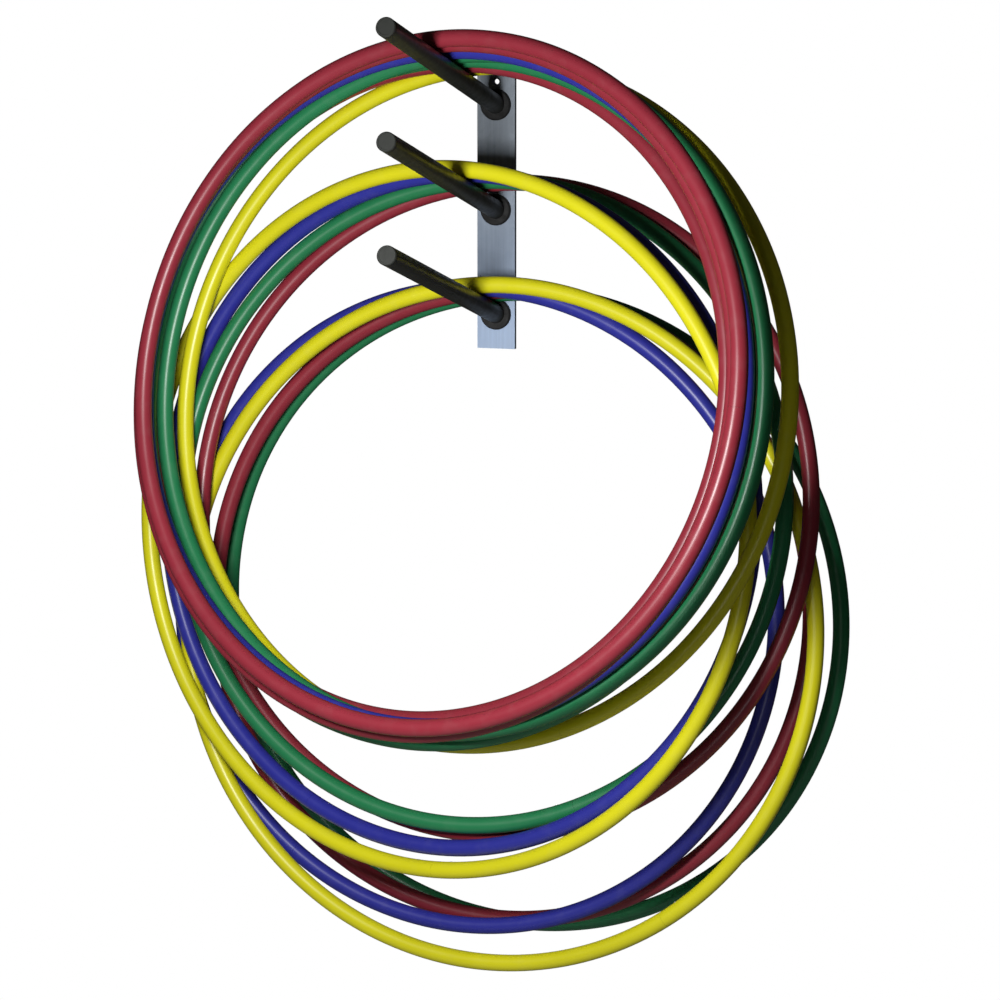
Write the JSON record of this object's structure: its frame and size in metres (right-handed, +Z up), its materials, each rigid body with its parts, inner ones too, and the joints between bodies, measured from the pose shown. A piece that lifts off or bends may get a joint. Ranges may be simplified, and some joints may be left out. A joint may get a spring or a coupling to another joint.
{
  "type": "wall-mounted gymnastic hoop rack with hoops",
  "caption": "Wall strip with upward-sloping round pegs and the coloured plastic tube hoops hung on them, each hoop sliding along its peg and off its end.",
  "frame": {"origin": "centre of the middle screw hole on the strip's rear face, where it meets the wall", "axes": "+X to the right along the wall, +Y into the wall, +Z up"},
  "size_m": [0.8334, 0.4599, 1.0884],
  "materials": {
    "galvanised_strip": "zinc-coated, satin, faint streaks along its length",
    "weld": "as welded",
    "bare_rod": "bright drawn",
    "peg_black": "moulded, satin",
    "cap_black": "moulded, matte",
    "collar_black": "moulded, satin",
    "hoop_red": "extruded, semi-gloss",
    "hoop_green": "extruded, semi-gloss",
    "hoop_blue": "extruded, semi-gloss",
    "hoop_yellow": "extruded, semi-gloss",
    "dowel": "natural nylon",
    "pin": "plain wire"
  },
  "bodies": {
    "rack": {"wall_strip": "galvanised_strip", "weld_beads": "weld", "low_peg_rod": "bare_rod", "low_peg_sleeve": "peg_black", "low_peg_end_cap": "cap_black", "low_peg_collar": "collar_black", "mid_peg_rod": "bare_rod", "mid_peg_sleeve": "peg_black", "mid_peg_end_cap": "cap_black", "mid_peg_collar": "collar_black", "top_peg_rod": "bare_rod", "top_peg_sleeve": "peg_black", "top_peg_end_cap": "cap_black", "top_peg_collar": "collar_black"},
    "low_1_green": {"low_1_green_tube": "hoop_green", "low_1_green_dowel": "dowel", "low_1_green_pins": "pin"},
    "low_2_red": {"low_2_red_tube": "hoop_red", "low_2_red_dowel": "dowel", "low_2_red_pins": "pin"},
    "low_3_blue": {"low_3_blue_tube": "hoop_blue", "low_3_blue_dowel": "dowel", "low_3_blue_pins": "pin"},
    "low_4_yellow": {"low_4_yellow_tube": "hoop_yellow", "low_4_yellow_dowel": "dowel", "low_4_yellow_pins": "pin"},
    "mid_1_red": {"mid_1_red_tube": "hoop_red", "mid_1_red_dowel": "dowel", "mid_1_red_pins": "pin"},
    "mid_2_green": {"mid_2_green_tube": "hoop_green", "mid_2_green_dowel": "dowel", "mid_2_green_pins": "pin"},
    "mid_3_blue": {"mid_3_blue_tube": "hoop_blue", "mid_3_blue_dowel": "dowel", "mid_3_blue_pins": "pin"},
    "mid_4_yellow": {"mid_4_yellow_tube": "hoop_yellow", "mid_4_yellow_dowel": "dowel", "mid_4_yellow_pins": "pin"},
    "top_1_yellow": {"top_1_yellow_tube": "hoop_yellow", "top_1_yellow_dowel": "dowel", "top_1_yellow_pins": "pin"},
    "top_2_red": {"top_2_red_tube": "hoop_red", "top_2_red_dowel": "dowel", "top_2_red_pins": "pin"},
    "top_3_green": {"top_3_green_tube": "hoop_green", "top_3_green_dowel": "dowel", "top_3_green_pins": "pin"},
    "top_4_green": {"top_4_green_tube": "hoop_green", "top_4_green_dowel": "dowel", "top_4_green_pins": "pin"},
    "top_5_blue": {"top_5_blue_tube": "hoop_blue", "top_5_blue_dowel": "dowel", "top_5_blue_pins": "pin"},
    "top_6_red": {"top_6_red_tube": "hoop_red", "top_6_red_dowel": "dowel", "top_6_red_pins": "pin"},
    "top_7_red": {"top_7_red_tube": "hoop_red", "top_7_red_dowel": "dowel", "top_7_red_pins": "pin"}
  },
  "joints": [
    {"name": "low_1_green_slide", "type": "slide", "parent": "rack", "child": "low_1_green", "axis": [0, -0.9659, 0.2588], "range_m": [0, 0.43]},
    {"name": "low_2_red_slide", "type": "slide", "parent": "low_1_green", "child": "low_2_red", "axis": [0, -0.9659, 0.2588], "range_m": [0, 0.41]},
    {"name": "low_3_blue_slide", "type": "slide", "parent": "low_2_red", "child": "low_3_blue", "axis": [0, -0.9659, 0.2588], "range_m": [0, 0.39]},
    {"name": "low_4_yellow_slide", "type": "slide", "parent": "low_3_blue", "child": "low_4_yellow", "axis": [0, -0.9659, 0.2588], "range_m": [0, 0.37]},
    {"name": "mid_1_red_slide", "type": "slide", "parent": "low_4_yellow", "child": "mid_1_red", "axis": [0, -0.9659, 0.2588], "range_m": [0, 0.4]},
    {"name": "mid_2_green_slide", "type": "slide", "parent": "mid_1_red", "child": "mid_2_green", "axis": [0, -0.9659, 0.2588], "range_m": [0, 0.38]},
    {"name": "mid_3_blue_slide", "type": "slide", "parent": "mid_2_green", "child": "mid_3_blue", "axis": [0, -0.9659, 0.2588], "range_m": [0, 0.34]},
    {"name": "mid_4_yellow_slide", "type": "slide", "parent": "mid_3_blue", "child": "mid_4_yellow", "axis": [0, -0.9659, 0.2588], "range_m": [0, 0.31]},
    {"name": "top_1_yellow_slide", "type": "slide", "parent": "mid_4_yellow", "child": "top_1_yellow", "axis": [0, -0.9659, 0.2588], "range_m": [0, 0.34]},
    {"name": "top_2_red_slide", "type": "slide", "parent": "top_1_yellow", "child": "top_2_red", "axis": [0, -0.9659, 0.2588], "range_m": [0, 0.32]},
    {"name": "top_3_green_slide", "type": "slide", "parent": "top_2_red", "child": "top_3_green", "axis": [0, -0.9659, 0.2588], "range_m": [0, 0.3]},
    {"name": "top_4_green_slide", "type": "slide", "parent": "top_3_green", "child": "top_4_green", "axis": [0, -0.9659, 0.2588], "range_m": [0, 0.28]},
    {"name": "top_5_blue_slide", "type": "slide", "parent": "top_4_green", "child": "top_5_blue", "axis": [0, -0.9659, 0.2588], "range_m": [0, 0.25]},
    {"name": "top_6_red_slide", "type": "slide", "parent": "top_5_blue", "child": "top_6_red", "axis": [0, -0.9659, 0.2588], "range_m": [0, 0.22]},
    {"name": "top_7_red_slide", "type": "slide", "parent": "top_6_red", "child": "top_7_red", "axis": [0, -0.9659, 0.2588], "range_m": [0, 0.2]}
  ]
}
